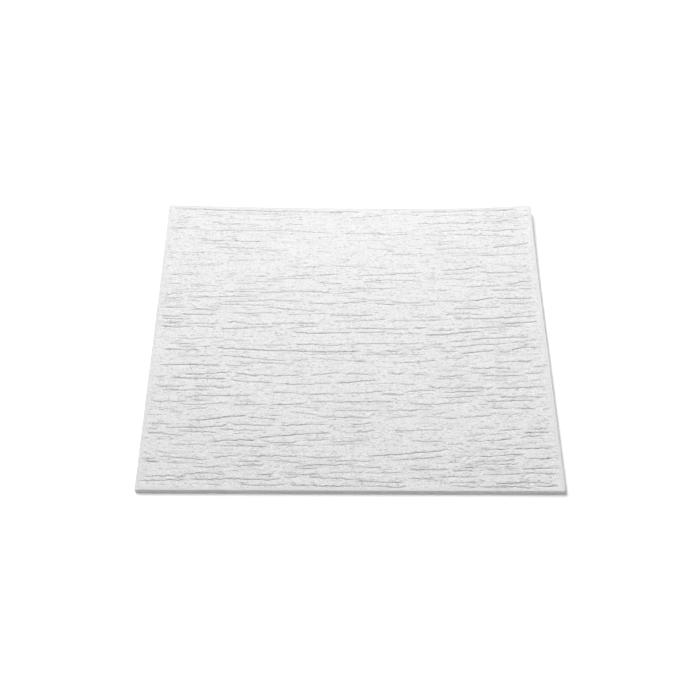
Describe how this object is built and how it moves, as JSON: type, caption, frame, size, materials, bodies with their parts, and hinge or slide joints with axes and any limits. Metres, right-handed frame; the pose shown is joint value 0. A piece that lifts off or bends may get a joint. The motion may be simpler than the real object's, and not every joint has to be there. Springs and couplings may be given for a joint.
{
  "type": "polystyrene ceiling tile",
  "caption": "Square white foam ceiling tile, thin and flat-backed, with long bark-like furrows across its face and two corners that have curled up.",
  "frame": {"origin": "on the flat back, under the middle of the square", "axes": "+Z out of the furrowed face, X along the furrows, +Y towards the edge with the two curled corners"},
  "size_m": [0.5, 0.5, 0.0122],
  "materials": {
    "foam": "matt white expanded polystyrene with a fine bead texture"
  },
  "bodies": {
    "root": {"tile": "foam"}
  },
  "joints": []
}
